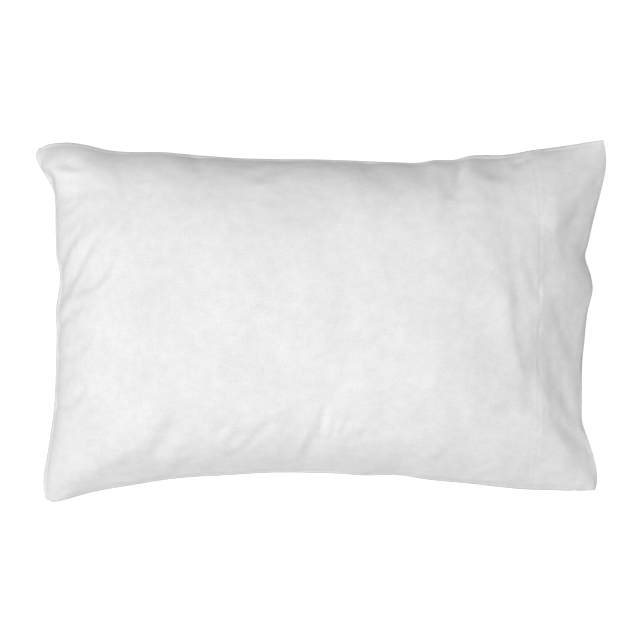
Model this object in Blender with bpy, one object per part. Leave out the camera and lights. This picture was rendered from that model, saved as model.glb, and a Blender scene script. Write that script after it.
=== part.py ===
"""A filled pillowcase, lying on its back with its mouth towards +X.

Metres, +Z up. The origin is on the surface it lies on, under the middle of its outline.
The case is one length of cotton, folded over and sewn, with a wide hem round its mouth.
It is built the same way: one grid rolled into a bag, folded flat at the closed end,
turned in at the mouth and folded flat again where the filling starts.
"""

from collections import namedtuple
import math

import bmesh
import bpy
from mathutils import Vector

# Driving dimensions.
LOFT = 0.170  # thickness over the crown
PLY = 0.0020  # one ply of the hem at the mouth
PLY_ROUNDNESS = 0.4  # how soon it is full, going in from the side seams
MOUTH_DEPTH = 0.040  # from the hem's edge in to the filling
FILLING_BLUNTNESS = 4  # of the filling's end inside the mouth; 2 makes it round
SEAM_TURN = 0.0045  # width of the turned-in side seams, inside the mouth
UNDERSIDE_SINK = 0.034  # how far the belly would hang below the surface, which flattens it
COTTON = (0.86, 0.86, 0.87, 1.0)
COTTON_ROUGHNESS = 0.85

# How full the case is. Places are shares of its length from the closed end.
CROWN_AT = 0.49
HEM_OPENS_FROM = 0.80
SIDE_ROUNDNESS = 0.92  # 1 makes a girth of half ellipses
Fall = namedtuple("Fall", "power roundness")  # a larger power is fuller, a smaller roundness steeper
CLOSED_END_FALL = Fall(2.6, 0.55)
MOUTH_END_FALL = Fall(2.3, 0.85)
CREASE_FADES_OVER = 0.06  # share of the length, before the mouth's edge
SEAM_KEEPS_CREASE_OFF = 3.0

# Resolution.
ALONG_CELLS = 46
INSIDE_CELLS = 5  # from the mouth's edge in to the filling
HALF_GIRTH_CELLS = 32
END_CROWDING = 0.7  # 0 spaces the cells evenly, 1 crowds them towards both ends
WELD = 1e-6

# The outline, seen from above. Each row is a point on the sewn edge and its height.
Edge = namedtuple("Edge", "x y height")
FAR_SIDE = [  # closed end to mouth
    Edge(-0.3845, 0.2335, 0.018),
    Edge(-0.3660, 0.2388, 0.020),
    Edge(-0.3430, 0.2400, 0.026),
    Edge(-0.3180, 0.2362, 0.033),
    Edge(-0.2900, 0.2290, 0.040),
    Edge(-0.2620, 0.2258, 0.046),
    Edge(-0.2120, 0.2250, 0.053),
    Edge(-0.1750, 0.2215, 0.057),
    Edge(-0.1000, 0.2160, 0.061),
    Edge(0.0000, 0.2145, 0.063),
    Edge(0.1100, 0.2104, 0.061),
    Edge(0.1320, 0.2104, 0.060),
    Edge(0.1500, 0.2140, 0.058),
    Edge(0.1800, 0.2148, 0.055),
    Edge(0.2000, 0.2205, 0.052),
    Edge(0.2500, 0.2228, 0.040),
    Edge(0.2850, 0.2295, 0.031),
    Edge(0.3200, 0.2345, 0.024),
    Edge(0.3830, 0.2450, 0.018),
]
NEAR_SIDE = [  # closed end to mouth
    Edge(-0.3760, -0.2415, 0.014),
    Edge(-0.3680, -0.2470, 0.014),
    Edge(-0.3520, -0.2448, 0.018),
    Edge(-0.3100, -0.2326, 0.030),
    Edge(-0.2600, -0.2227, 0.043),
    Edge(-0.1940, -0.2118, 0.054),
    Edge(-0.1300, -0.2075, 0.059),
    Edge(-0.0600, -0.2035, 0.063),
    Edge(0.0200, -0.2047, 0.063),
    Edge(0.0550, -0.2075, 0.061),
    Edge(0.1050, -0.2075, 0.059),
    Edge(0.1400, -0.2135, 0.055),
    Edge(0.2050, -0.2205, 0.044),
    Edge(0.2650, -0.2282, 0.030),
    Edge(0.3200, -0.2312, 0.020),
    Edge(0.3720, -0.2320, 0.014),
]
CLOSED_END = [  # near side to far side
    Edge(-0.3760, -0.2415, 0.014),
    Edge(-0.3770, -0.2160, 0.020),
    Edge(-0.3693, -0.1750, 0.032),
    Edge(-0.3620, -0.1350, 0.045),
    Edge(-0.3585, -0.1080, 0.051),
    Edge(-0.3560, -0.0600, 0.058),
    Edge(-0.3548, -0.0200, 0.061),
    Edge(-0.3555, 0.0150, 0.061),
    Edge(-0.3500, 0.0540, 0.059),
    Edge(-0.3515, 0.0670, 0.058),
    Edge(-0.3558, 0.0900, 0.055),
    Edge(-0.3583, 0.1500, 0.042),
    Edge(-0.3597, 0.1680, 0.036),
    Edge(-0.3640, 0.1800, 0.032),
    Edge(-0.3800, 0.2050, 0.024),
    Edge(-0.3880, 0.2220, 0.019),
    Edge(-0.3845, 0.2335, 0.018),
]
Lip = namedtuple("Lip", "x y height gap")  # gap is the opening between the two plies
MOUTH = [  # near side to far side
    Lip(0.3720, -0.2320, 0.014, 0.000),
    Lip(0.3745, -0.2160, 0.016, 0.002),
    Lip(0.3700, -0.1900, 0.022, 0.005),
    Lip(0.3597, -0.1600, 0.030, 0.009),
    Lip(0.3515, -0.1380, 0.034, 0.012),
    Lip(0.3508, -0.1100, 0.036, 0.014),
    Lip(0.3510, -0.0600, 0.037, 0.016),
    Lip(0.3538, -0.0300, 0.037, 0.017),
    Lip(0.3580, 0.0100, 0.038, 0.017),
    Lip(0.3650, 0.0400, 0.039, 0.016),
    Lip(0.3620, 0.0620, 0.040, 0.015),
    Lip(0.3545, 0.0850, 0.040, 0.013),
    Lip(0.3585, 0.1000, 0.038, 0.011),
    Lip(0.3685, 0.1400, 0.031, 0.008),
    Lip(0.3785, 0.1750, 0.025, 0.005),
    Lip(0.3855, 0.2050, 0.020, 0.003),
    Lip(0.3862, 0.2220, 0.018, 0.002),
    Lip(0.3830, 0.2450, 0.018, 0.000),
]

# The main folds in the upper face, each a soft trough, or a ridge where its depth is negative.
Fold = namedtuple("Fold", "start end width depth")
FOLDS = [
    Fold((-0.348, 0.059), (-0.304, 0.110), 0.012, 0.0050),
    Fold((-0.348, 0.034), (-0.300, 0.046), 0.012, 0.0045),
    Fold((-0.353, -0.118), (-0.312, -0.091), 0.014, 0.0040),
    Fold((-0.348, -0.235), (-0.223, -0.146), 0.014, -0.0050),
    Fold((-0.232, -0.188), (-0.191, -0.126), 0.015, 0.0075),
    Fold((-0.094, -0.194), (-0.063, -0.135), 0.013, 0.0040),
    Fold((-0.029, -0.197), (-0.009, -0.162), 0.012, 0.0070),
    Fold((-0.009, -0.162), (0.001, -0.115), 0.012, 0.0055),
    Fold((-0.169, 0.205), (-0.105, 0.167), 0.018, 0.0060),
    Fold((0.160, 0.162), (0.192, 0.208), 0.015, 0.0090),
    Fold((0.223, 0.180), (0.268, 0.196), 0.015, 0.0060),
    Fold((0.248, 0.078), (0.257, 0.013), 0.013, 0.0060),
    Fold((0.257, 0.013), (0.279, -0.074), 0.013, 0.0060),
    Fold((0.300, -0.076), (0.349, -0.189), 0.014, 0.0050),
    Fold((0.377, 0.158), (0.317, 0.108), 0.015, 0.0060),
]


def smooth_step(value, low, high):
    share = min(1.0, max(0.0, (value - low) / (high - low)))
    return share * share * (3 - 2 * share)


def blend(first, second, share):
    return first + (second - first) * share


def read_row(rows, share, column, measured_along):
    """One column of an outline table, on a smooth curve through its rows."""
    places = [getattr(row, measured_along) for row in rows]
    values = [getattr(row, column) for row in rows]
    place = blend(places[0], places[-1], share)
    last = len(rows) - 2
    i = next((k for k in range(last) if place < places[k + 1]), last)

    def slope(k):
        low, high = max(k - 1, 0), min(k + 1, len(rows) - 1)
        return (values[high] - values[low]) / (places[high] - places[low])

    span = places[i + 1] - places[i]
    t = (place - places[i]) / span
    return (
        values[i] * (1 + 2 * t) * (1 - t) ** 2
        + slope(i) * span * t * (1 - t) ** 2
        + values[i + 1] * t * t * (3 - 2 * t)
        - slope(i + 1) * span * t * t * (1 - t)
    )


def side_point(rows, share):
    """A point on a long side, whose table runs along X."""
    return Vector(
        (
            blend(rows[0].x, rows[-1].x, share),
            read_row(rows, share, "y", "x"),
            read_row(rows, share, "height", "x"),
        )
    )


def end_point(rows, share):
    """A point on the closed end or the mouth, whose tables run along Y."""
    return Vector(
        (
            read_row(rows, share, "x", "y"),
            blend(rows[0].y, rows[-1].y, share),
            read_row(rows, share, "height", "y"),
        )
    )


def seam_surface(along, across):
    """The smooth sheet that spans the four sewn edges. Both shares run from 0 to 1."""
    between_sides = side_point(NEAR_SIDE, along).lerp(side_point(FAR_SIDE, along), across)
    between_ends = end_point(CLOSED_END, across).lerp(end_point(MOUTH, across), along)
    near = Vector(NEAR_SIDE[0]).lerp(Vector(NEAR_SIDE[-1]), along)
    far = Vector(FAR_SIDE[0]).lerp(Vector(FAR_SIDE[-1]), along)
    return between_sides + between_ends - near.lerp(far, across)


def fall_off(distance_share, fall):
    return (1 - min(1.0, distance_share) ** fall.power) ** fall.roundness


def fullness(along):
    """1 at the crown and 0 at both ends."""
    if along < CROWN_AT:
        return fall_off(1 - along / CROWN_AT, CLOSED_END_FALL)
    return fall_off((along - CROWN_AT) / (1 - CROWN_AT), MOUTH_END_FALL)


def fold_depth(place):
    """How far the folds draw the upper face down at a place seen from above."""
    depth = 0.0
    for fold in FOLDS:
        start = Vector(fold.start)
        run = Vector(fold.end) - start
        share = (place - start).dot(run) / run.length_squared
        away = (place - start - run * min(1.0, max(0.0, share))).length
        depth += fold.depth * math.exp(-((away / fold.width) ** 2))
    return depth


def half_gap(along, across):
    """Half the opening between the plies, at the mouth and on the way in to it."""
    gap = read_row(MOUTH, across, "gap", "y")
    return gap / 2 * smooth_step(along, HEM_OPENS_FROM, 1.0)


def crease_drop(place, along, girth):
    """The folds' depth, kept off the sewn edges and the mouth's edge."""
    keep = min(1.0, SEAM_KEEPS_CREASE_OFF * girth * fall_off(1 - along, CLOSED_END_FALL))
    keep *= 1 - smooth_step(along, 1 - CREASE_FADES_OVER, 1.0)
    return keep * fold_depth(place)


def outside_point(along, turn):
    """A point on the case's outside. turn runs once round the girth, from the near seam
    over the upper face to the far seam, and back along the underside."""
    across = (1 - math.cos(turn)) / 2
    girth = abs(math.sin(turn)) ** SIDE_ROUNDNESS
    filled = girth * fullness(along)
    ply = PLY * abs(math.sin(turn)) ** PLY_ROUNDNESS * smooth_step(along, HEM_OPENS_FROM, 1.0)
    lift = half_gap(along, across) + ply
    point = seam_surface(along, across)
    if turn <= math.pi:
        point.z = blend(point.z + lift, LOFT, filled) - crease_drop(point.xy, along, girth)
    else:
        point.z = blend(point.z - lift, -UNDERSIDE_SINK, filled)
    point.z = max(0.0, point.z)
    return point


def inside_point(depth_share, turn):
    """A point on the inside of the mouth, from the hem's edge in to the filling. It is one
    ply inside the outer face, until the upper and lower walls meet over the filling's end."""
    across = (1 - math.cos(turn)) / 2
    seam_share = SEAM_TURN / (FAR_SIDE[-1].y - NEAR_SIDE[-1].y)
    length = MOUTH[0].x - CLOSED_END[0].x
    along = 1 - depth_share * MOUTH_DEPTH / length
    point = seam_surface(along, blend(seam_share, 1 - seam_share, across))
    ply = PLY * abs(math.sin(turn)) ** PLY_ROUNDNESS
    this_wall = outside_point(along, turn).z
    other_wall = outside_point(along, 2 * math.pi - turn).z
    gap = max(0.0, abs(this_wall - other_wall) - 2 * ply)
    closing = math.sqrt(1 - depth_share**FILLING_BLUNTNESS)
    point.z = (this_wall + other_wall) / 2 + math.copysign(gap / 2 * closing, math.sin(turn))
    return point


def bag_point(column, row):
    """Where the rolled grid's vertex goes: columns run along the case, rows round it."""
    turn = math.pi * row / HALF_GIRTH_CELLS
    if column > ALONG_CELLS:
        return inside_point((column - ALONG_CELLS - 1) / INSIDE_CELLS, turn)
    even = column / ALONG_CELLS
    crowded = (1 - math.cos(math.pi * even)) / 2
    return outside_point(blend(even, crowded, END_CROWDING), turn)


def centre_over_origin(bm):
    """Moves the mesh sideways so that the middle of its outline is at X 0 and Y 0."""
    for axis in (0, 1):
        values = [vertex.co[axis] for vertex in bm.verts]
        middle = (min(values) + max(values)) / 2
        for vertex in bm.verts:
            vertex.co[axis] -= middle


def cotton_material():
    material = bpy.data.materials.new("white_cotton")
    material.use_nodes = True
    shader = material.node_tree.nodes["Principled BSDF"]
    shader.inputs["Base Color"].default_value = COTTON
    shader.inputs["Roughness"].default_value = COTTON_ROUGHNESS
    shader.inputs["Metallic"].default_value = 0.0
    return material


def make_pillowcase():
    columns = ALONG_CELLS + 1 + INSIDE_CELLS
    rows = 2 * HALF_GIRTH_CELLS
    bm = bmesh.new()
    grid = bmesh.ops.create_grid(bm, x_segments=columns, y_segments=rows, size=1.0)
    for vertex in grid["verts"]:
        column = round((vertex.co.x + 1) / 2 * columns)
        row = round((vertex.co.y + 1) / 2 * rows)
        vertex.co = bag_point(column, row % rows)
    bmesh.ops.remove_doubles(bm, verts=bm.verts, dist=WELD)
    centre_over_origin(bm)
    bmesh.ops.recalc_face_normals(bm, faces=bm.faces)
    mesh = bpy.data.meshes.new("pillowcase")
    bm.to_mesh(mesh)
    bm.free()
    mesh.shade_smooth()
    mesh.materials.append(cotton_material())
    pillowcase = bpy.data.objects.new("pillowcase", mesh)
    bpy.context.scene.collection.objects.link(pillowcase)
    return pillowcase


for leftover in list(bpy.data.objects):
    bpy.data.objects.remove(leftover)
make_pillowcase()
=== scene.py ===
# A filled white cotton pillowcase, lying on its back with its hemmed mouth towards +X.
# Metres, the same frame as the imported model.

import math
import time

import bmesh
import bpy
import numpy as np
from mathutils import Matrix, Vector
from mathutils.bvhtree import BVHTree
from mathutils.noise import noise


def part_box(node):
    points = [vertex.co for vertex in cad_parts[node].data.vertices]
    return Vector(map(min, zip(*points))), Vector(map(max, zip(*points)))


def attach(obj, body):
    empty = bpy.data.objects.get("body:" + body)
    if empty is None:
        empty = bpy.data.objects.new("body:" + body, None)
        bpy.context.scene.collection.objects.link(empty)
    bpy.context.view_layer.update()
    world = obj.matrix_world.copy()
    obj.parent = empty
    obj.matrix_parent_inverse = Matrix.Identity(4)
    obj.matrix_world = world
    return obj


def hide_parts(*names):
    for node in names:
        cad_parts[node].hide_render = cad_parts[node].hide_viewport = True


startTime = time.perf_counter()


def report(stage):
    print(f"[{time.perf_counter() - startTime:6.1f} s] {stage}")


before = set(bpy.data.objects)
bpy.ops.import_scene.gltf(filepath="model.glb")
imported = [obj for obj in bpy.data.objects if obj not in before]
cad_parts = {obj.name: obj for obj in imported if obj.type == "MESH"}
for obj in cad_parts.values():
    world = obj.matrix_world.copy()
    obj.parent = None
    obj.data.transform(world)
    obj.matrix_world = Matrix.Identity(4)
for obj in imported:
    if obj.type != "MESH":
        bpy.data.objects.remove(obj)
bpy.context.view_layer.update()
caseNode = "pillowcase"
lowCorner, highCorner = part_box(caseNode)
loft = highCorner[2] - lowCorner[2]
report("frame loaded")

studio = {
    "floorSize": 60.0,
    "floorColour": (0.50, 0.50, 0.50),
    "floorRoughness": 0.95,
    "floorSpecular": 0.1,
    "floorGlow": 0.85,  # only what the camera sees directly, so the floor reads as white
    "keyFrom": (-0.26, -0.11, 1.0),
    "keyAngle": 50.0,
    "keyStrength": 3.02,
    "around": 0.13,
}

caseCut = {
    "length": 0.800,  # flat, from the closed end to the hem's edge
    "width": 0.500,  # flat
    "hemDepth": 0.092,
    "cell": 0.0068,
    "seamRows": (0.0018, 0.0040, 0.0070, 0.0115),  # closer rows beside every edge
    "stitchRows": (0.0018, 0.0040, 0.0070, 0.0115),  # and on both sides of the hem's stitches
    "outlineShift": (0.0009, 0.0010),  # sets the traced outline's middle on the origin
}

caseFill = {
    "crownAt": 0.49,  # share of the length
    "closedEndPower": 2.6,
    "closedEndRoundness": 0.55,
    "mouthEndPower": 2.3,
    "mouthEndRoundness": 0.85,
    "sideRoundness": 0.92,
    "bellySink": 0.034,  # how far the underside would hang below the surface
    "hemOpensFrom": 0.80,
    "leastGap": 0.003,  # between the hem's outer faces
    # where the hem's stitches are seen: share across, X
    "stitchesSeenAt": ((0.0, 0.284), (0.1, 0.287), (0.5, 0.288), (0.9, 0.287), (1.0, 0.283)),
    "stitchesPulledFrom": 0.5,  # share of the length where the filling starts to pull them
    "rolling": 0.55,  # how far the cloth beside the long seams crowds round the filled side
    "closedEndTurn": 0.45,  # the same at the closed end
    "cornerRise": 8,  # how soon the hem's least gap is reached, going in from its corners
}

onEdge = 1e-6  # places closer to an edge than this are on it
weldWithin = 1e-5

# The sewn edges seen from above: x, y, height.
farSide = [
    (-0.3845, 0.2335, 0.018),
    (-0.3660, 0.2388, 0.020),
    (-0.3430, 0.2400, 0.026),
    (-0.3180, 0.2362, 0.033),
    (-0.2900, 0.2290, 0.040),
    (-0.2620, 0.2258, 0.046),
    (-0.2120, 0.2250, 0.053),
    (-0.1750, 0.2215, 0.057),
    (-0.1000, 0.2160, 0.061),
    (0.0000, 0.2145, 0.063),
    (0.1100, 0.2104, 0.061),
    (0.1320, 0.2104, 0.060),
    (0.1500, 0.2140, 0.058),
    (0.1800, 0.2148, 0.055),
    (0.2000, 0.2205, 0.052),
    (0.2500, 0.2228, 0.040),
    (0.2850, 0.2295, 0.031),
    (0.3200, 0.2345, 0.024),
    (0.3830, 0.2450, 0.018),
]
nearSide = [
    (-0.3760, -0.2415, 0.014),
    (-0.3680, -0.2470, 0.014),
    (-0.3520, -0.2448, 0.018),
    (-0.3100, -0.2326, 0.030),
    (-0.2600, -0.2227, 0.048),
    (-0.1940, -0.2118, 0.061),
    (-0.1300, -0.2075, 0.067),
    (-0.0600, -0.2035, 0.071),
    (0.0200, -0.2047, 0.071),
    (0.0550, -0.2075, 0.069),
    (0.1050, -0.2075, 0.066),
    (0.1400, -0.2135, 0.061),
    (0.2050, -0.2205, 0.048),
    (0.2650, -0.2282, 0.032),
    (0.3200, -0.2312, 0.020),
    (0.3720, -0.2320, 0.014),
]
closedEnd = [
    (-0.3760, -0.2415, 0.014),
    (-0.3770, -0.2160, 0.020),
    (-0.3693, -0.1750, 0.032),
    (-0.3620, -0.1350, 0.045),
    (-0.3585, -0.1080, 0.051),
    (-0.3560, -0.0600, 0.058),
    (-0.3548, -0.0200, 0.061),
    (-0.3555, 0.0150, 0.061),
    (-0.3500, 0.0540, 0.059),
    (-0.3515, 0.0670, 0.058),
    (-0.3558, 0.0900, 0.055),
    (-0.3583, 0.1500, 0.042),
    (-0.3597, 0.1680, 0.036),
    (-0.3640, 0.1800, 0.032),
    (-0.3800, 0.2050, 0.024),
    (-0.3880, 0.2220, 0.019),
    (-0.3845, 0.2335, 0.018),
]
# The hem's edge: x, y, height, gap between its two plies.
mouthEdge = [
    (0.3720, -0.2320, 0.014, 0.000),
    (0.3745, -0.2160, 0.016, 0.002),
    (0.3700, -0.1900, 0.022, 0.005),
    (0.3597, -0.1600, 0.030, 0.009),
    (0.3515, -0.1380, 0.034, 0.012),
    (0.3508, -0.1100, 0.036, 0.014),
    (0.3510, -0.0600, 0.037, 0.016),
    (0.3538, -0.0300, 0.037, 0.017),
    (0.3580, 0.0100, 0.038, 0.017),
    (0.3650, 0.0400, 0.039, 0.016),
    (0.3620, 0.0620, 0.040, 0.015),
    (0.3545, 0.0850, 0.040, 0.013),
    (0.3585, 0.1000, 0.038, 0.011),
    (0.3685, 0.1400, 0.031, 0.008),
    (0.3785, 0.1750, 0.025, 0.005),
    (0.3855, 0.2050, 0.020, 0.003),
    (0.3862, 0.2220, 0.018, 0.002),
    (0.3830, 0.2450, 0.018, 0.000),
]


def blend(first, second, share):
    return first + (second - first) * share


def smoothStep(value, low, high):
    share = min(1.0, max(0.0, (value - low) / (high - low)))
    return share * share * (3 - 2 * share)


def readRow(rows, share, column, measuredAlong):
    # one column of an edge's table, on a smooth curve through its rows; share runs from the first row
    places = [row[measuredAlong] for row in rows]
    values = [row[column] for row in rows]
    place = blend(places[0], places[-1], share)
    last = len(rows) - 2
    i = next((k for k in range(last) if place < places[k + 1]), last)

    def slope(k):
        low, high = max(k - 1, 0), min(k + 1, len(rows) - 1)
        return (values[high] - values[low]) / (places[high] - places[low])

    span = places[i + 1] - places[i]
    t = (place - places[i]) / span
    return (
        values[i] * (1 + 2 * t) * (1 - t) ** 2
        + slope(i) * span * t * (1 - t) ** 2
        + values[i + 1] * t * t * (3 - 2 * t)
        - slope(i + 1) * span * t * t * (1 - t)
    )


sideCache = {}


def sidePoint(name, rows, share):
    key = (name, round(share, 6))
    if key not in sideCache:
        sideCache[key] = Vector(
            (blend(rows[0][0], rows[-1][0], share), readRow(rows, share, 1, 0), readRow(rows, share, 2, 0))
        )
    return sideCache[key]


def endPoint(name, rows, share):
    key = (name, round(share, 6))
    if key not in sideCache:
        sideCache[key] = Vector(
            (readRow(rows, share, 0, 1), blend(rows[0][1], rows[-1][1], share), readRow(rows, share, 2, 1))
        )
    return sideCache[key]


def seamSurface(along, across):
    # the smooth sheet that spans the four sewn edges
    betweenSides = sidePoint("near", nearSide, along).lerp(sidePoint("far", farSide, along), across)
    betweenEnds = endPoint("closed", closedEnd, across).lerp(endPoint("mouth", mouthEdge, across), along)
    near = Vector(nearSide[0]).lerp(Vector(nearSide[-1]), along)
    far = Vector(farSide[0]).lerp(Vector(farSide[-1]), along)
    return betweenSides + betweenEnds - near.lerp(far, across)


def fullness(along):
    crownAt = caseFill["crownAt"]
    if along < crownAt:
        fromCrown = 1 - along / crownAt
        return (1 - fromCrown ** caseFill["closedEndPower"]) ** caseFill["closedEndRoundness"]
    fromCrown = min(1.0, (along - crownAt) / (1 - crownAt))
    return (1 - fromCrown ** caseFill["mouthEndPower"]) ** caseFill["mouthEndRoundness"]


def stitchShift(across):
    # how far, in shares of the length, the filling pulls the hem's stitches towards the mouth
    closed, mouth = endPoint("closed", closedEnd, across), endPoint("mouth", mouthEdge, across)
    seenAt = np.interp(across, *zip(*caseFill["stitchesSeenAt"]))
    return (seenAt - closed.x) / (mouth.x - closed.x) - (1 - caseCut["hemDepth"] / caseCut["length"])


def stitchPull(uShare):
    stitchShare = 1 - caseCut["hemDepth"] / caseCut["length"]
    if uShare < stitchShare:
        return smoothStep(uShare, caseFill["stitchesPulledFrom"], stitchShare)
    return 1 - smoothStep(uShare, stitchShare, 1.0)


def filledPoint(u, v, side):
    # where a place on the flat cloth goes before the cloth settles; side is 1 for the upper panel
    uShare, vShare = u / caseCut["length"], v / caseCut["width"]
    full = fullness(uShare)
    rolled = (1 - math.cos(math.pi * vShare)) / 2
    across = blend(vShare, rolled, caseFill["rolling"] * full)
    girth = (2 * math.sqrt(max(0.0, across * (1 - across)))) ** caseFill["sideRoundness"]
    along = uShare + stitchShift(across) * stitchPull(uShare)
    if uShare < caseFill["crownAt"]:
        turned = caseFill["crownAt"] * (1 - math.cos(math.pi / 2 * uShare / caseFill["crownAt"]))
        along = blend(uShare, turned, caseFill["closedEndTurn"] * girth)
    filled = girth * fullness(along)
    fromCorners = caseFill["cornerRise"] * vShare, caseFill["cornerRise"] * (1 - vShare)
    gap = readRow(mouthEdge, vShare, 3, 1) + caseFill["leastGap"] * min(1.0, *fromCorners)
    lift = side * gap / 2 * smoothStep(along, caseFill["hemOpensFrom"], 1.0)
    point = seamSurface(along, across)
    far = loft if side > 0 else -caseFill["bellySink"]
    point.z = max(0.0, blend(point.z + lift, far, filled))
    return point + Vector((*caseCut["outlineShift"], 0.0))


def evenLines(low, high):
    count = max(1, round((high - low) / caseCut["cell"]))
    return [blend(low, high, k / count) for k in range(count + 1)]


def cutLines(length, stitchLine=None):
    # where the rows of cells lie across a flat panel: closer together beside its edges and the stitches
    seamRows, stitchRows = caseCut["seamRows"], caseCut["stitchRows"]
    lines = [0.0, length, *seamRows, *(length - row for row in seamRows)]
    if stitchLine is None:
        lines += evenLines(seamRows[-1], length - seamRows[-1])
    else:
        lines += [stitchLine, *(stitchLine + row for row in stitchRows)]
        lines += [stitchLine - row for row in stitchRows]
        lines += evenLines(seamRows[-1], stitchLine - stitchRows[-1])
        lines += evenLines(stitchLine + stitchRows[-1], length - seamRows[-1])
    return sorted({round(line, 6) for line in lines})


stitchPlace = caseCut["length"] - caseCut["hemDepth"]
uLines = cutLines(caseCut["length"], stitchPlace)
vLines = cutLines(caseCut["width"])


def makePanel(bm, side, cutPlace, panelSide, weaveMap):
    columns, rows = len(uLines) - 1, len(vLines) - 1
    grid = bmesh.ops.create_grid(bm, x_segments=columns, y_segments=rows, size=0.5)
    for vertex in grid["verts"]:
        u = uLines[round((vertex.co.x + 0.5) * columns)]
        v = vLines[round((vertex.co.y + 0.5) * rows)]
        vertex[cutPlace] = (u, v, 0.0)
        vertex[panelSide] = side
        vertex.co = filledPoint(u, v, side)
    faces = {face for vertex in grid["verts"] for face in vertex.link_faces}
    for face in faces:
        for loop in face.loops:
            loop[weaveMap].uv = loop.vert[cutPlace].xy
    if side < 0:
        bmesh.ops.reverse_faces(bm, faces=list(faces))
    return grid["verts"]


def isSewn(place):
    return place.x < onEdge or place.y < onEdge or place.y > caseCut["width"] - onEdge


def makeCase():
    bm = bmesh.new()
    cutPlace = bm.verts.layers.float_vector.new("cutPlace")
    panelSide = bm.verts.layers.float.new("panelSide")
    weaveMap = bm.loops.layers.uv.new("weave")
    upper = makePanel(bm, 1.0, cutPlace, panelSide, weaveMap)
    verts = upper + makePanel(bm, -1.0, cutPlace, panelSide, weaveMap)
    sewn = [vertex for vertex in verts if isSewn(vertex[cutPlace])]
    bmesh.ops.remove_doubles(bm, verts=sewn, dist=weldWithin)
    mesh = bpy.data.meshes.new("caseCloth")
    bm.to_mesh(mesh)
    bm.free()
    case = bpy.data.objects.new("caseCloth", mesh)
    bpy.context.scene.collection.objects.link(case)
    return case


def readVectors(collection, name, width=3):
    values = np.empty(len(collection) * width)
    collection.foreach_get(name, values)
    return values.reshape(-1, width) if width > 1 else values


def readPlaces(mesh):
    place = readVectors(mesh.attributes["cutPlace"].data, "vector")
    return place[:, 0], place[:, 1], readVectors(mesh.attributes["panelSide"].data, "value", 1)


settling = {
    "frames": 12,
    "quality": 6,
    "pressure": 4.0,
    "vertexMass": 0.05,
    "tension": 40.0,
    "shear": 10.0,
    "bending": 0.3,
    "airDamping": 1.0,
    "pressureEndsAt": (0.86, 0.91),  # share of the length
    "leastPressure": 0.001,
    "panelsApart": 0.0005,  # half the space between the flat panels
    "furthest": 0.022,  # how far a place may move
}


def setGroup(piece, name, weights):
    group = piece.vertex_groups.new(name=name)
    for index in np.nonzero(weights > 0)[0]:
        group.add([int(index)], float(weights[index]), "REPLACE")


def settleCloth(case):
    # lets the filled cloth find its own shape between its sewn edges; its flat cut is its rest length
    mesh = case.data
    u, v, side = readPlaces(mesh)
    start = readVectors(mesh.vertices, "co")
    length, width = caseCut["length"], caseCut["width"]
    pinned = (u < onEdge) | (v < onEdge) | (v > width - onEdge) | (u > length - onEdge)
    low, high = (share * length for share in settling["pressureEndsAt"])
    setGroup(case, "pinned", pinned.astype(float))
    filled = np.maximum(1 - np.clip((u - low) / (high - low), 0, 1), settling["leastPressure"])
    setGroup(case, "filled", filled)
    case.shape_key_add(name="Basis")
    flatCut = case.shape_key_add(name="flatCut")
    flatCut.data.foreach_set("co", np.stack((u, v, side * settling["panelsApart"]), 1).ravel())
    cloth = case.modifiers.new("settle", "CLOTH")
    cloth.point_cache.frame_start = 1
    cloth.point_cache.frame_end = settling["frames"] + 1
    cloth.collision_settings.use_collision = False
    values = cloth.settings
    values.quality = settling["quality"]
    values.mass = settling["vertexMass"]
    values.air_damping = settling["airDamping"]
    values.tension_stiffness = values.compression_stiffness = settling["tension"]
    values.shear_stiffness = settling["shear"]
    values.bending_stiffness = settling["bending"]
    values.vertex_group_mass = "pinned"
    values.use_pressure = True
    values.uniform_pressure_force = settling["pressure"]
    values.vertex_group_pressure = "filled"
    values.rest_shape_key = flatCut
    values.effector_weights.gravity = 0
    for number in range(1, settling["frames"] + 1):
        bpy.context.scene.frame_set(number)
    depsgraph = bpy.context.evaluated_depsgraph_get()
    settled = readVectors(case.evaluated_get(depsgraph).data.vertices, "co")
    bpy.context.scene.frame_set(1)
    case.modifiers.remove(cloth)
    case.shape_key_clear()
    case.vertex_groups.clear()
    moved = settled - start
    distance = np.linalg.norm(moved, axis=1, keepdims=True)
    moved *= np.minimum(1, settling["furthest"] / np.maximum(distance, 1e-9))
    settled = start + moved
    settled[:, 2] = np.maximum(settled[:, 2], 0.0)  # the surface it lies on
    mesh.vertices.foreach_set("co", settled.ravel())
    average, most = distance.mean() * 1000, distance.max() * 1000
    report(f"cloth settled, moving {average:.1f} mm on average, {most:.1f} at most")


mouthTurn = {
    # depths inside the mouth
    "rings": (0.0000, 0.0016, 0.0050, 0.0110, 0.0200, 0.0310, 0.0430, 0.0550),
    "ply": 0.0017,  # the hem's doubled cloth
    "seamTurn": 0.0040,  # the seams' turned-in cloth
    "leastGap": 0.0008,  # between the inner walls
    "edgeRound": 0.0006,  # how far the turn starts inside the hem's edge
    "closingPower": 4,  # larger keeps the walls apart for longer
    "readFurther": 0.01,  # of the outer cloth, past the innermost ring
}


def nearestLine(lines, place):
    return int(np.abs(np.array(lines) - place).argmin())


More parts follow.
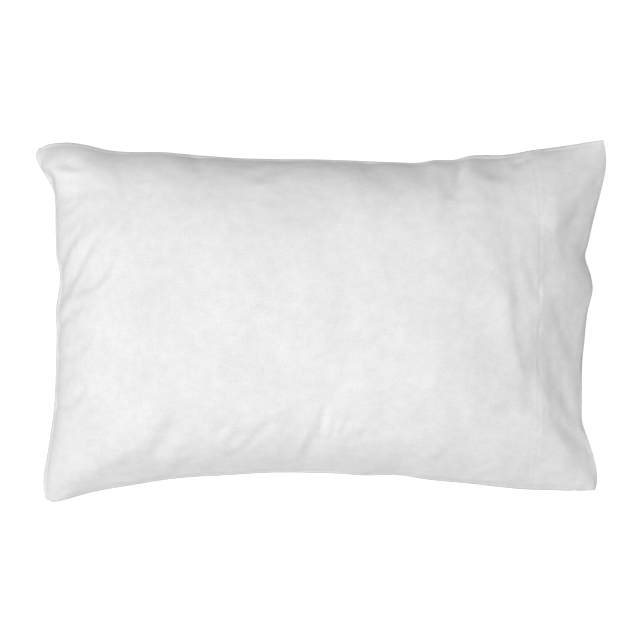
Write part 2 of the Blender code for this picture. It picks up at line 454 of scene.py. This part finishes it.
def layMouthWalls(case):
    # the hem's cloth turns in at the mouth and runs back until the upper and the lower walls meet
    bm = bmesh.new()
    bm.from_mesh(case.data)
    cutPlace = bm.verts.layers.float_vector["cutPlace"]
    panelSide = bm.verts.layers.float["panelSide"]
    insideMouth = bm.verts.layers.float.new("insideMouth")
    weaveMap = bm.loops.layers.uv["weave"]
    length, width = caseCut["length"], caseCut["width"]
    outer = {side: np.zeros((len(uLines), len(vLines), 3)) for side in (1, -1)}
    for vertex in bm.verts:
        u, v, _ = vertex[cutPlace]
        sides = (1, -1) if isSewn(vertex[cutPlace]) else (round(vertex[panelSide]),)
        for side in sides:
            outer[side][nearestLine(uLines, u), nearestLine(vLines, v)] = vertex.co

    def outerPoint(u, v, side):
        byColumn = [[np.interp(v, vLines, outer[side][k, :, axis]) for axis in range(3)] for k in nearColumns]
        places = [uLines[k] for k in nearColumns]
        return [np.interp(u, places, [point[axis] for point in byColumn]) for axis in range(3)]

    deepest = mouthTurn["rings"][-1]
    nearColumns = [k for k, u in enumerate(uLines) if u > length - deepest - mouthTurn["readFurther"]]
    edges = [edge for edge in bm.edges if edge.is_boundary]
    for number, depth in enumerate(mouthTurn["rings"]):
        made = bmesh.ops.extrude_edge_only(bm, edges=edges)["geom"]
        edges = [item for item in made if isinstance(item, bmesh.types.BMEdge)]
        edges = [edge for edge in edges if edge.is_boundary]
        turned = min(1.0, (number + 1) / 2)
        inset = mouthTurn["seamTurn"] * turned
        closing = (depth / deepest) ** mouthTurn["closingPower"]
        for vertex in {end for edge in edges for end in edge.verts}:
            v = blend(inset, width - inset, vertex[cutPlace].y / width)
            top = outerPoint(length - depth - mouthTurn["edgeRound"] * (1 - turned), v, 1)
            low = outerPoint(length - depth - mouthTurn["edgeRound"] * (1 - turned), v, -1)
            middle = (top[2] + low[2]) / 2
            side = vertex[panelSide]
            halfOuter = (top[2] - low[2]) / 2
            halfGap = max(halfOuter - mouthTurn["ply"] * turned, min(mouthTurn["leastGap"], halfOuter) / 2)
            corner = vertex[cutPlace].y < onEdge or vertex[cutPlace].y > width - onEdge
            lift = 0.0 if corner else math.copysign(halfGap, side) * (1 - closing)
            outside = top if side > 0 else low
            vertex.co = (outside[0], outside[1], middle + lift)
            vertex[cutPlace].x = length - depth
            vertex[insideMouth] = turned
        for face in {item for item in made if isinstance(item, bmesh.types.BMFace)}:
            for loop in face.loops:
                loop[weaveMap].uv = (length + depth, loop.vert[cutPlace].y)
    for vertex in bm.verts:
        inset = mouthTurn["seamTurn"] * vertex[insideMouth]
        vertex[cutPlace].y = blend(inset, width - inset, vertex[cutPlace].y / width)
    inner = {end for edge in edges for end in edge.verts}
    bmesh.ops.remove_doubles(bm, verts=list(inner), dist=weldWithin)
    bm.to_mesh(case.data)
    bm.free()
    report("mouth walls laid")


def subdivide(case):
    # one Catmull-Clark step, applied
    smoothing = case.modifiers.new("smoothing", "SUBSURF")
    smoothing.levels = smoothing.render_levels = 1
    depsgraph = bpy.context.evaluated_depsgraph_get()
    finer = bpy.data.meshes.new_from_object(
        case.evaluated_get(depsgraph), preserve_all_data_layers=True, depsgraph=depsgraph
    )
    coarse = case.data
    case.modifiers.clear()
    case.data = finer
    bpy.data.meshes.remove(coarse)
    finer.name = "caseCloth"


seamShape = {
    "bead": (0.0018, 0.0009, 0.0055),  # the turned-in cloth inside: half its width, height, where it ends
    "beadFadesOver": 0.012,  # beside the corners
    "groove": (0.0066, 0.0030, -0.00035),
    "endGroove": (0.0062, 0.0030, -0.00070),  # deeper at the closed end
    "puckerReach": 0.016,
    "puckerHeight": 0.00045,
    "puckerStartsOver": 0.004,
    "puckerSlant": 0.35,
    "puckerWaves": (38.0, 61.0, 97.0, 143.0),  # waves in a metre of seam
}

hemShape = {  # distance from the stitches towards the mouth, width, height
    "fold": (-0.0072, 0.0020, -0.00007),
    "foldRidge": (-0.0042, 0.0020, 0.00012),
    "stitchGroove": (0.0, 0.0017, -0.00008),
    "ply": (0.0052, 0.0030, 0.00014),
}
hemMarks = {
    "waves": (17.0, 41.0, 83.0),  # in a metre of hem; they make its marks uneven
    "even": 0.75,  # how deep the marks are on average
    "uneven": 0.6,
    "fadesOver": 0.006,  # beside the side seams
}
creasesFadeOver = 0.005  # beside every edge

# How the strength of a seam's ripples changes along it.
rippleStrength = {"middle": 0.55, "swing": 0.45, "waves": 5.3}

# The upper cloth slopes evenly down to its sides, instead of bulging over them.
nearSlope = {"drop": 0.012, "at": 0.030}
farSlope = {"drop": 0.009, "risesOver": 0.0045, "fallsBetween": (0.060, 0.230)}

# Small unevenness of the whole cloth: height and size.
unevenness = ((0.00090, 0.045), (0.00055, 0.022), (0.00018, 0.010))
panelNoise = 4.7  # sets the two panels' unevenness apart

# Small crushed folds inside the near side, seen from above.
crushed = {
    "height": 0.00058,
    "across": 0.011,
    "along": 0.034,
    "turned": 62.0,
    "middle": (-0.030, -0.140),
    "reach": (0.150, 0.042),
    "noiseAt": 2.3,
}

# The creases in the upper face: depth and width in mm, which side is steeper (1 for the left, going along
# the line, -1 for the right), then points in mm. A depth below 0 is a ridge, read along its crest; the
# others are read along the flank that is turned from the light.
upperCreases = [
    # the ear at the far corner of the closed end
    (2.6, 5, -1, ((-358, 207), (-346, 205), (-334, 203), (-320, 201))),
    (-2.2, 26, 1, ((-350, 184), (-325, 177), (-295, 175), (-262, 180))),
    (-9.0, 8, -1, ((-378, 210), (-367, 207), (-356, 203), (-349, 192), (-348, 178), (-351, 164))),
    (1.0, 5, 0, ((-344, 163), (-330, 165), (-312, 168))),
    (0.9, 5, 0, ((-343, 142), (-330, 152), (-318, 163))),
    (1.0, 5, 0, ((-340, 122), (-328, 133), (-312, 149))),
    # the closed end
    (1.2, 5, 0, ((-352, 62), (-345, 84), (-336, 102), (-320, 119))),
    (-1.2, 6, 0, ((-345, 54), (-338, 74), (-326, 96), (-306, 124))),
    (2.0, 6, 0, ((-348, 38), (-336, 48), (-326, 64), (-316, 84), (-301, 110))),
    (-0.9, 6, 0, ((-334, 38), (-318, 58), (-306, 80), (-297, 100))),
    (1.9, 5.5, -1, ((-330, 35), (-313, 41), (-301, 47), (-290, 58), (-283, 73), (-276, 96))),
    (1.4, 5.5, 0, ((-354, 20), (-344, 32), (-334, 44))),
    (2.0, 6, 0, ((-356, -14), (-343, 4), (-330, 13), (-316, 22))),
    (1.6, 6, 0, ((-354, -48), (-338, -50), (-324, -40), (-310, -28))),
    (0.8, 5, 0, ((-354, -82), (-340, -76), (-325, -65))),
    (2.2, 6, 0, ((-358, -117), (-339, -114), (-327, -103), (-316, -84))),
    (-1.6, 9, 0, ((-352, -126), (-346, -142), (-350, -164))),
    # the near side
    (-3.8, 14, -1, ((-356, -236), (-326, -209), (-296, -193), (-268, -178), (-242, -162))),
    (1.1, 5, 0, ((-362, -240), (-352, -231), (-344, -222))),
    (3.0, 12, 0, ((-230, -186), (-217, -164), (-204, -144), (-184, -127))),
    (0.4, 5, 0, ((-199, -207), (-192, -198), (-186, -189))),
    (1.2, 6, 0, ((-138, -150), (-133, -143), (-127, -135))),
    (1.3, 5.5, 0, ((-126, -169), (-117, -157), (-107, -146))),
    (0.9, 7, 0, ((-130, -186), (-118, -178), (-104, -167))),
    (0.9, 5, 0, ((-104, -170), (-95, -161), (-87, -152))),
    (2.0, 7, 0, ((-86, -153), (-76, -141), (-62, -129))),
    (2.4, 5.5, 0, ((-4, -154), (-2, -132), (2, -108))),
    (1.7, 7, 1, ((-28, -188), (-17, -166), (-9, -147))),
    (0.9, 4.5, 0, ((7, -162), (12, -146), (18, -128))),
    (1.1, 9, 0, ((6, -108), (22, -90), (44, -77))),
    (1.2, 5, 0, ((22, -152), (29, -139), (37, -125))),
    (1.0, 5, 0, ((46, -160), (54, -148), (60, -134))),
    (0.8, 10, 0, ((150, -188), (164, -174), (178, -160))),
    # the far side
    (1.8, 11, 0, ((-178, 220), (-172, 207), (-166, 194))),
    (1.8, 7, 0, ((-92, 186), (-74, 192), (-52, 202))),
    (1.5, 11, 0, ((48, 203), (64, 192), (84, 184))),
    (-4.0, 46, 1, ((20, 138), (90, 146), (160, 148), (240, 144))),
    (-2.2, 20, 1, ((112, 186), (126, 170), (144, 160), (164, 158))),
    (1.8, 7, 0, ((158, 160), (168, 167), (176, 180), (182, 198))),
    (1.8, 6, 0, ((173, 172), (180, 186), (184, 206))),
    (1.4, 6, 0, ((180, 202), (187, 207), (196, 213))),
    (2.6, 12, -1, ((200, 206), (210, 200), (224, 197), (240, 198), (252, 205))),
    (1.8, 6, 0, ((256, 205), (268, 212), (284, 221))),
    # the mouth's end
    (-1.8, 9, 1, ((234, 100), (238, 70), (243, 42), (248, 10))),
    (-2.0, 8, 1, ((239, 40), (244, 10), (248, -14), (252, -38), (259, -62), (269, -84))),
    (0.8, 6, 0, ((264, 86), (271, 64), (278, 44), (283, 26))),
    (-1.2, 8, 1, ((297, 34), (301, 16), (307, -4), (315, -28), (323, -48), (332, -66))),
    (-1.7, 12, 1, ((286, -48), (293, -72), (304, -98), (318, -124), (334, -150), (350, -178))),
    (-3.4, 13, 1, ((292, -94), (299, -130), (312, -161), (331, -187), (350, -207), (366, -225), (382, -243))),
    (0.8, 9, 0, ((270, -78), (271, -100), (270, -124))),
    (-3.4, 30, -1, ((296, 40), (302, 72), (305, 98), (309, 126), (313, 152), (316, 184))),
    (-1.4, 9, -1, ((303, 110), (305, 140), (308, 172), (313, 206))),
    (1.3, 13, 0, ((317, 124), (325, 150), (336, 176), (350, 202))),
    (-4.4, 14, -1, ((300, 118), (323, 145), (345, 171), (366, 208))),
    (-0.6, 12, 1, ((304, 112), (320, 102), (334, 90), (347, 66))),
    (-0.6, 8, 1, ((332, 102), (339, 88), (348, 62))),
]


creaseShape = {
    "lip": 0.30,  # share of the depth
    "lipAt": 1.75,  # share of the width
    "lipWidth": 0.9,  # share of the width
    "gentle": 1.2,  # how much wider the gentler side is
    "reach": 5.0,  # widths
    "taper": 0.30,  # share of the length, at each end
    "endDepth": 0.25,  # share of the depth that is left at the very ends
    "flankToBottom": 0.55,  # share of the width
    "turnGain": 1.3,  # above 1, lines that are nearly square to the light also move in full
}


def hump(distance, shape):
    at, width, height = shape
    return height * np.exp(-(((distance - at) / width) ** 2))


def throughBottom(points, width):
    # moves a line from a crease's shaded flank to its bottom, away from the light
    points = np.array(points, float) / 1000
    run = np.gradient(points, axis=0)
    across = np.stack((-run[:, 1], run[:, 0]), 1) / np.linalg.norm(run, axis=1, keepdims=True)
    fromLight = -np.array(studio["keyFrom"][:2])
    turned = across @ (fromLight / np.linalg.norm(fromLight))
    move = creaseShape["flankToBottom"] * width * np.clip(creaseShape["turnGain"] * turned, -1, 1)
    return points + across * move[:, None]


def rounded(points):
    # a polyline with its corners cut twice
    for _ in range(2):
        early = points[:-1] * 0.75 + points[1:] * 0.25
        late = points[:-1] * 0.25 + points[1:] * 0.75
        cuts = np.concatenate((early, late), 1)
        points = np.concatenate((points[:1], cuts.reshape(-1, 2), points[-1:]))
    return points


def creaseHeights(x, y, rows):
    # how far the creases move each place seen from above
    total = np.zeros(len(x))
    for depth, width, lean, line in rows:
        depth, width = depth / 1000, width / 1000
        points = rounded(np.array(line) / 1000 if depth < 0 else throughBottom(line, width))
        points = points + caseCut["outlineShift"]
        reach = creaseShape["reach"] * width
        low, high = points.min(0) - reach, points.max(0) + reach
        near = np.nonzero((x > low[0]) & (x < high[0]) & (y > low[1]) & (y < high[1]))[0]
        px, py = x[near], y[near]
        distance, side, place = np.full(len(near), 1.0), np.zeros(len(near)), np.zeros(len(near))
        runLengths = np.linalg.norm(np.diff(points, axis=0), axis=1)
        before = 0.0
        for (ax, ay), (bx, by), run in zip(points[:-1], points[1:], runLengths):
            tx, ty = (bx - ax) / run, (by - ay) / run
            t = np.clip((px - ax) * tx + (py - ay) * ty, 0, run)
            dx, dy = px - ax - t * tx, py - ay - t * ty
            away = np.hypot(dx, dy)
            closer = away < distance
            distance = np.where(closer, away, distance)
            side = np.where(closer, np.sign(tx * dy - ty * dx), side)
            place = np.where(closer, before + t, place)
            before += run
        share = place / before
        ends = np.clip(np.minimum(share, 1 - share) / creaseShape["taper"], 0, 1)
        ends = creaseShape["endDepth"] + (1 - creaseShape["endDepth"]) * np.sin(ends * math.pi / 2)
        away = distance / width / np.where(side * lean < 0, 1 + creaseShape["gentle"], 1)
        lip = creaseShape["lip"] * (0.5 + 0.5 * side * lean) * (depth > 0)
        fromLip = (away - creaseShape["lipAt"]) / creaseShape["lipWidth"]
        profile = -np.exp(-(away**2)) + lip * np.exp(-(fromLip**2))
        total[near] += depth * ends * profile
    return total


def waves(places, frequencies, seed):
    # uneven ripples along a seam
    random = np.random.default_rng(seed)
    phases = random.uniform(0, 2 * math.pi, len(frequencies))
    weights = random.uniform(0.5, 1.0, len(frequencies))
    total = sum(w * np.sin(2 * math.pi * f * places + p) for f, p, w in zip(frequencies, phases, weights))
    swell = np.sin(2 * math.pi * rippleStrength["waves"] * places + phases[0])
    strength = rippleStrength["middle"] + rippleStrength["swing"] * swell
    return total * strength / weights.sum()


def bead(distance, shape):
    # round at the edge, then easing down to the cloth
    halfWidth, height, end = shape
    outer = np.sqrt(np.clip(1 - (1 - distance / halfWidth) ** 2, 0, 1))
    inner = 0.5 + 0.5 * np.cos(np.pi * np.clip((distance - halfWidth) / (end - halfWidth), 0, 1))
    return height * np.where(distance < halfWidth, outer, inner)


def unevenHeights(u, v, side):
    places = list(zip(u, v, panelNoise * side))
    return sum(
        height * np.array([noise(Vector((x / size, y / size, z))) for x, y, z in places])
        for height, size in unevenness
    )


def crushedHeights(x, y):
    turn = math.radians(crushed["turned"])
    along = (x * math.cos(turn) + y * math.sin(turn)) / crushed["along"]
    across = (x * math.sin(turn) - y * math.cos(turn)) / crushed["across"]
    away = [(place - at) / reach for place, at, reach in zip((x, y), crushed["middle"], crushed["reach"])]
    strength = crushed["height"] * np.exp(-(away[0] ** 4) - away[1] ** 2)
    return strength * np.array([noise(Vector((a, b, crushed["noiseAt"]))) for a, b in zip(along, across)])


def edgeDistances(u, v):
    length, width = caseCut["length"], caseCut["width"]
    return np.stack((u, v, width - v, length - u))


def shapeCase(case):
    # seams, hem and creases, moved along the cloth's own normals
    mesh = case.data
    co = readVectors(mesh.vertices, "co")
    u, v, side = readPlaces(mesh)
    full = np.array([fullness(share) for share in np.clip(u / caseCut["length"], 0, 1)])
    fromNear = v / nearSlope["at"]
    co[:, 2] -= np.where(side > 0.5, nearSlope["drop"] * full * fromNear * np.exp(1 - fromNear), 0)
    fromFar = caseCut["width"] - v
    low, high = farSlope["fallsBetween"]
    share = np.clip((fromFar - low) / (high - low), 0, 1)
    fall = (1 - np.exp(-fromFar / farSlope["risesOver"])) * (1 - share * share * (3 - 2 * share))
    co[:, 2] -= np.where(side > 0.5, farSlope["drop"] * full * fall, 0)
    mesh.vertices.foreach_set("co", co.ravel())
    mesh.update()
    normal = readVectors(mesh.vertices, "normal")
    distances = edgeDistances(u, v)
    nearest = distances.min(0)
    inside = readVectors(mesh.attributes["insideMouth"].data, "value", 1) > 0.01
    sewn = np.minimum(np.minimum(u, v), caseCut["width"] - v)
    fromCorner = np.maximum(u, np.minimum(v, caseCut["width"] - v))
    beadFade = np.clip(np.minimum(fromCorner, caseCut["length"] - u) / seamShape["beadFadesOver"], 0, 1)
    height = (bead(sewn, seamShape["bead"]) + hump(sewn, seamShape["groove"])) * beadFade
    height += hump(u, seamShape["endGroove"])
    for number, (distance, along) in enumerate(((u, v), (v, u), (caseCut["width"] - v, u))):
        for panel in (1, -1):
            fade = np.exp(-distance / seamShape["puckerReach"])
            fade = fade * np.clip(distance / seamShape["puckerStartsOver"], 0, 1)
            slanted = along + distance * seamShape["puckerSlant"] * (-1) ** number
            ripple = waves(slanted, seamShape["puckerWaves"], 7 * number + panel + 1)
            height += np.where(side * panel > 0, seamShape["puckerHeight"] * fade * ripple, 0)
    fromStitches = u - stitchPlace
    hemFade = np.clip(sewn / hemMarks["fadesOver"], 0, 1)
    for number, shape in enumerate(hemShape.values()):
        strength = hemMarks["even"] + hemMarks["uneven"] * waves(v, hemMarks["waves"], number)
        height += hump(fromStitches, shape) * hemFade * strength
    upper = side > 0.5
    edgeFade = np.clip(nearest / creasesFadeOver, 0, 1)
    x, y = co[upper, 0], co[upper, 1]
    creased = creaseHeights(x, y, upperCreases) + crushedHeights(x, y)
    height[upper] += creased * edgeFade[upper]
    height += unevenHeights(u, v, side) * edgeFade
    height[inside] = 0
    co += normal * height[:, None]
    co[:, 2] = np.maximum(co[:, 2], 0.0)
    mesh.vertices.foreach_set("co", co.ravel())
    mesh.update()
    report("seams, hem and creases shaped")


case = makeCase()
report(f"panels sewn, {len(case.data.polygons)} faces")
settleCloth(case)
layMouthWalls(case)
subdivide(case)
shapeCase(case)
case.data.shade_smooth()
report(f"case finished, {len(case.data.polygons) * 2} triangles")


stitchLook = {
    "length": 0.0024,
    "pitch": 0.0033,
    "thickness": 0.00045,
    "sink": 0.0003,  # how far a stitch is pulled into the cloth
    "endsBeforeSeam": 0.009,
    "lineWithin": 1e-5,  # vertices this near the stitch line are on it
}


def makeStitches(case):
    # the hem's stitches, on the upper and the under side
    u, v, side = readPlaces(case.data)
    co = readVectors(case.data.vertices, "co")
    cloth = BVHTree.FromPolygons(
        [Vector(point) for point in co], [tuple(polygon.vertices) for polygon in case.data.polygons]
    )
    bm = bmesh.new()
    last = caseCut["width"] - stitchLook["endsBeforeSeam"]
    count = int((last - stitchLook["endsBeforeSeam"]) / stitchLook["pitch"])
    places = np.linspace(stitchLook["endsBeforeSeam"], last, count)
    for panel in (1, -1):
        onLine = np.nonzero((np.abs(u - stitchPlace) < stitchLook["lineWithin"]) & (side * panel > 0.5))[0]
        onLine = onLine[np.argsort(v[onLine])]
        line = [np.interp(places, v[onLine], co[onLine, k]) for k in range(3)]
        points = [Vector(point) for point in zip(*line)]
        for before, here, after in zip(points, points[1:], points[2:]):
            _, normal, _, _ = cloth.find_nearest(here)
            along = (after - before).normalized()
            across = normal.cross(along).normalized()
            made = bmesh.ops.create_uvsphere(bm, u_segments=6, v_segments=4, radius=0.5)["verts"]
            for vertex in made:
                x, y, z = vertex.co
                vertex.co = (
                    here
                    + across * (x * stitchLook["thickness"])
                    + normal * (y * stitchLook["thickness"] - stitchLook["sink"])
                    + along * (z * stitchLook["length"])
                )
    bmesh.ops.recalc_face_normals(bm, faces=bm.faces)
    mesh = bpy.data.meshes.new("hemStitches")
    bm.to_mesh(mesh)
    bm.free()
    mesh.shade_smooth()
    stitches = bpy.data.objects.new("hemStitches", mesh)
    bpy.context.scene.collection.objects.link(stitches)
    return stitches


stitches = makeStitches(case)
report(f"{len(stitches.data.polygons)} stitch faces")


def addNode(tree, kind, **values):
    node = tree.nodes.new(kind)
    for name, value in values.items():
        setattr(node, name, value)
    return node


def mathNode(tree, operation, first, second=None, third=None):
    # a Math node; each operand is a socket or a number
    node = addNode(tree, "ShaderNodeMath", operation=operation)
    for socket, value in zip(node.inputs, (first, second, third)):
        if isinstance(value, bpy.types.NodeSocket):
            tree.links.new(value, socket)
        elif value is not None:
            socket.default_value = value
    return node.outputs[0]


slubNoise = {
    "threads": 800,  # to the metre, where a material doesn't say
    "slubs": 25,
    "throughCloth": 40,  # the same, along the third axis
    "places": (3.1, 11.3),  # sets the two ways of the cloth apart
    "detail": 2.5,
    "roughness": 0.6,
}


def makeSlubGroup():
    # slubs: threads that are thicker in places, running both ways of the cloth
    group = bpy.data.node_groups.new("cottonSlubs", "ShaderNodeTree")
    face = group.interface
    face.new_socket(name="Place", in_out="INPUT", socket_type="NodeSocketVector")
    for name, usual in (("Threads per metre", "threads"), ("Slubs per metre", "slubs")):
        socket = face.new_socket(name=name, in_out="INPUT", socket_type="NodeSocketFloat")
        socket.default_value = slubNoise[usual]
    face.new_socket(name="Slubs", in_out="OUTPUT", socket_type="NodeSocketFloat")
    enter, leave = addNode(group, "NodeGroupInput"), addNode(group, "NodeGroupOutput")
    both = []
    for turned in (False, True):
        scale = addNode(group, "ShaderNodeCombineXYZ")
        across, along = (0, 1) if turned else (1, 0)
        group.links.new(enter.outputs["Threads per metre"], scale.inputs[across])
        group.links.new(enter.outputs["Slubs per metre"], scale.inputs[along])
        scale.inputs[2].default_value = slubNoise["throughCloth"]
        stretch = addNode(group, "ShaderNodeVectorMath", operation="MULTIPLY")
        group.links.new(enter.outputs["Place"], stretch.inputs[0])
        group.links.new(scale.outputs[0], stretch.inputs[1])
        shift = addNode(group, "ShaderNodeVectorMath", operation="ADD")
        shift.inputs[1].default_value = (0, 0, slubNoise["places"][turned])
        group.links.new(stretch.outputs[0], shift.inputs[0])
        spread = addNode(group, "ShaderNodeTexNoise", noise_dimensions="3D")
        spread.inputs["Scale"].default_value = 1
        spread.inputs["Detail"].default_value = slubNoise["detail"]
        spread.inputs["Roughness"].default_value = slubNoise["roughness"]
        group.links.new(shift.outputs[0], spread.inputs["Vector"])
        both.append(spread.outputs["Fac"])
    total = mathNode(group, "ADD", both[0], both[1])
    group.links.new(mathNode(group, "MULTIPLY_ADD", total, 1.0, -1.0), leave.inputs["Slubs"])
    return group


slubGroup = makeSlubGroup()


def addSlubs(tree, place, threads, slubs):
    node = addNode(tree, "ShaderNodeGroup", node_tree=slubGroup)
    tree.links.new(place, node.inputs["Place"])
    node.inputs["Threads per metre"].default_value = threads
    node.inputs["Slubs per metre"].default_value = slubs
    return node.outputs["Slubs"]


clothLook = {
    "colour": (0.80, 0.80, 0.80),
    "roughness": 0.88,
    "slubRoughness": 0.10,
    "specular": 0.25,
    "sheen": 0.15,
    "sheenRoughness": 0.5,
    "noiseRoughness": 0.62,
    "mottles": (13.0, 0.185),  # to the metre, and how much they lighten or darken
    "fineMottles": (75.0, 0.190),
    "grain": (420.0, 0.240),
    "slubs": (720.0, 45.0, 0.050),  # threads and slubs to the metre, and how much they show
    "weavePitch": 0.0006,
    "weaveDepth": 0.010,  # heights are in mm
    "slubHeight": 0.050,
    "fuzzHeight": 0.12,
    "heightUnit": 0.001,
}


def makeCotton():
    material = bpy.data.materials.new("cotton")
    material.use_nodes = True
    tree = material.node_tree
    shader = tree.nodes["Principled BSDF"]
    shader.inputs["Sheen Weight"].default_value = clothLook["sheen"]
    shader.inputs["Sheen Roughness"].default_value = clothLook["sheenRoughness"]
    shader.inputs["Specular IOR Level"].default_value = clothLook["specular"]
    place = addNode(tree, "ShaderNodeUVMap", uv_map="weave").outputs["UV"]
    threads, slubsPerMetre, slubShare = clothLook["slubs"]
    slubs = addSlubs(tree, place, threads, slubsPerMetre)

    def mottle(scale, detail):
        spread = addNode(tree, "ShaderNodeTexNoise", noise_dimensions="3D")
        spread.inputs["Scale"].default_value = scale
        spread.inputs["Detail"].default_value = detail
        spread.inputs["Roughness"].default_value = clothLook["noiseRoughness"]
        tree.links.new(place, spread.inputs["Vector"])
        return mathNode(tree, "SUBTRACT", spread.outputs["Fac"], 0.5)

    coarse = mottle(clothLook["mottles"][0], 3)
    fine = mottle(clothLook["fineMottles"][0], 4)
    tone = mathNode(tree, "MULTIPLY_ADD", coarse, clothLook["mottles"][1], 1.0)
    tone = mathNode(tree, "MULTIPLY_ADD", fine, clothLook["fineMottles"][1], tone)
    grain = mottle(clothLook["grain"][0], 2)
    tone = mathNode(tree, "MULTIPLY_ADD", grain, clothLook["grain"][1], tone)
    tone = mathNode(tree, "MULTIPLY_ADD", slubs, slubShare, tone)
    colour = addNode(tree, "ShaderNodeVectorMath", operation="SCALE")
    colour.inputs[0].default_value = clothLook["colour"]
    tree.links.new(tone, colour.inputs["Scale"])
    tree.links.new(colour.outputs[0], shader.inputs["Base Color"])
    rough = mathNode(tree, "MULTIPLY_ADD", slubs, clothLook["slubRoughness"], clothLook["roughness"])
    tree.links.new(rough, shader.inputs["Roughness"])

    # the plain weave: over one thread, under the next
    split = addNode(tree, "ShaderNodeSeparateXYZ")
    tree.links.new(place, split.inputs[0])
    turn = math.pi / clothLook["weavePitch"]
    warp = mathNode(tree, "SINE", mathNode(tree, "MULTIPLY", split.outputs[0], turn))
    weft = mathNode(tree, "SINE", mathNode(tree, "MULTIPLY", split.outputs[1], turn))
    weave = mathNode(tree, "MULTIPLY", mathNode(tree, "MULTIPLY", warp, weft), clothLook["weaveDepth"])
    height = mathNode(tree, "MULTIPLY_ADD", slubs, clothLook["slubHeight"], weave)
    height = mathNode(tree, "MULTIPLY_ADD", fine, clothLook["fuzzHeight"], height)
    bump = addNode(tree, "ShaderNodeBump")
    bump.inputs["Strength"].default_value = 1.0
    bump.inputs["Distance"].default_value = clothLook["heightUnit"]
    tree.links.new(height, bump.inputs["Height"])
    tree.links.new(bump.outputs["Normal"], shader.inputs["Normal"])
    return material


threadLook = {
    "colour": (0.80, 0.80, 0.80),
    "roughness": 0.7,
    "slubRoughness": 0.15,
    "sheen": 0.1,
    "slubs": (5200.0, 260.0, 0.08),  # threads and slubs to the metre, and how much they show
    "slubHeight": 0.0001,
}


def makeThread():
    material = bpy.data.materials.new("sewingThread")
    material.use_nodes = True
    tree = material.node_tree
    shader = tree.nodes["Principled BSDF"]
    shader.inputs["Sheen Weight"].default_value = threadLook["sheen"]
    place = addNode(tree, "ShaderNodeTexCoord").outputs["Object"]
    threads, slubsPerMetre, slubShare = threadLook["slubs"]
    slubs = addSlubs(tree, place, threads, slubsPerMetre)
    tone = mathNode(tree, "MULTIPLY_ADD", slubs, slubShare, 1.0)
    colour = addNode(tree, "ShaderNodeVectorMath", operation="SCALE")
    colour.inputs[0].default_value = threadLook["colour"]
    tree.links.new(tone, colour.inputs["Scale"])
    tree.links.new(colour.outputs[0], shader.inputs["Base Color"])
    rough = mathNode(tree, "MULTIPLY_ADD", slubs, threadLook["slubRoughness"], threadLook["roughness"])
    tree.links.new(rough, shader.inputs["Roughness"])
    bump = addNode(tree, "ShaderNodeBump")
    bump.inputs["Distance"].default_value = threadLook["slubHeight"]
    tree.links.new(slubs, bump.inputs["Height"])
    tree.links.new(bump.outputs["Normal"], shader.inputs["Normal"])
    return material


case.data.materials.clear()
case.data.materials.append(makeCotton())
stitches.data.materials.append(makeThread())
for piece in (case, stitches):
    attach(piece, "root")
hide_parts(caseNode)
report("materials made")


def makeFloor():
    bm = bmesh.new()
    bmesh.ops.create_grid(bm, x_segments=1, y_segments=1, size=studio["floorSize"] / 2)
    mesh = bpy.data.meshes.new("floor")
    bm.to_mesh(mesh)
    bm.free()
    floor = bpy.data.objects.new("floor", mesh)
    bpy.context.scene.collection.objects.link(floor)
    material = bpy.data.materials.new("paleFloor")
    material.use_nodes = True
    tree = material.node_tree
    shader = tree.nodes["Principled BSDF"]
    shader.inputs["Base Color"].default_value = (*studio["floorColour"], 1)
    shader.inputs["Roughness"].default_value = studio["floorRoughness"]
    shader.inputs["Specular IOR Level"].default_value = studio["floorSpecular"]
    glow = addNode(tree, "ShaderNodeEmission")
    glow.inputs["Color"].default_value = (1, 1, 1, 1)
    seen = addNode(tree, "ShaderNodeLightPath").outputs["Is Camera Ray"]
    tree.links.new(mathNode(tree, "MULTIPLY", seen, studio["floorGlow"]), glow.inputs["Strength"])
    together = addNode(tree, "ShaderNodeAddShader")
    tree.links.new(shader.outputs[0], together.inputs[0])
    tree.links.new(glow.outputs[0], together.inputs[1])
    tree.links.new(together.outputs[0], tree.nodes["Material Output"].inputs["Surface"])
    mesh.materials.append(material)
    return floor


makeFloor()

key = bpy.data.lights.new("keyLight", "SUN")
key.energy = studio["keyStrength"]
key.angle = math.radians(studio["keyAngle"])
keyLight = bpy.data.objects.new("keyLight", key)
keyLight.rotation_euler = Vector(studio["keyFrom"]).to_track_quat("Z", "Y").to_euler()
bpy.context.scene.collection.objects.link(keyLight)
world = bpy.data.worlds.new("world")
world.use_nodes = True
world.node_tree.nodes["Background"].inputs["Color"].default_value = (1, 1, 1, 1)
world.node_tree.nodes["Background"].inputs["Strength"].default_value = studio["around"]
bpy.context.scene.world = world
bpy.context.scene.view_settings.view_transform = "Standard"

cameraView = {
    "lens": 150.0,
    "sensor": 36.0,
    "frameWidth": 0.864,  # metres across the picture, at the height in focus
    "height": 0.035,
    "middle": (-0.0011, 0.0010),
    "clipEnd": 50,
}
cameraData = bpy.data.cameras.new("camera")
cameraData.lens = cameraView["lens"]
cameraData.sensor_width = cameraView["sensor"]
cameraData.clip_end = cameraView["clipEnd"]
camera = bpy.data.objects.new("camera", cameraData)
cameraDistance = cameraView["frameWidth"] * cameraView["lens"] / cameraView["sensor"]
camera.location = (*cameraView["middle"], cameraView["height"] + cameraDistance)
bpy.context.scene.collection.objects.link(camera)
bpy.context.scene.camera = camera
report("floor, light and camera placed")
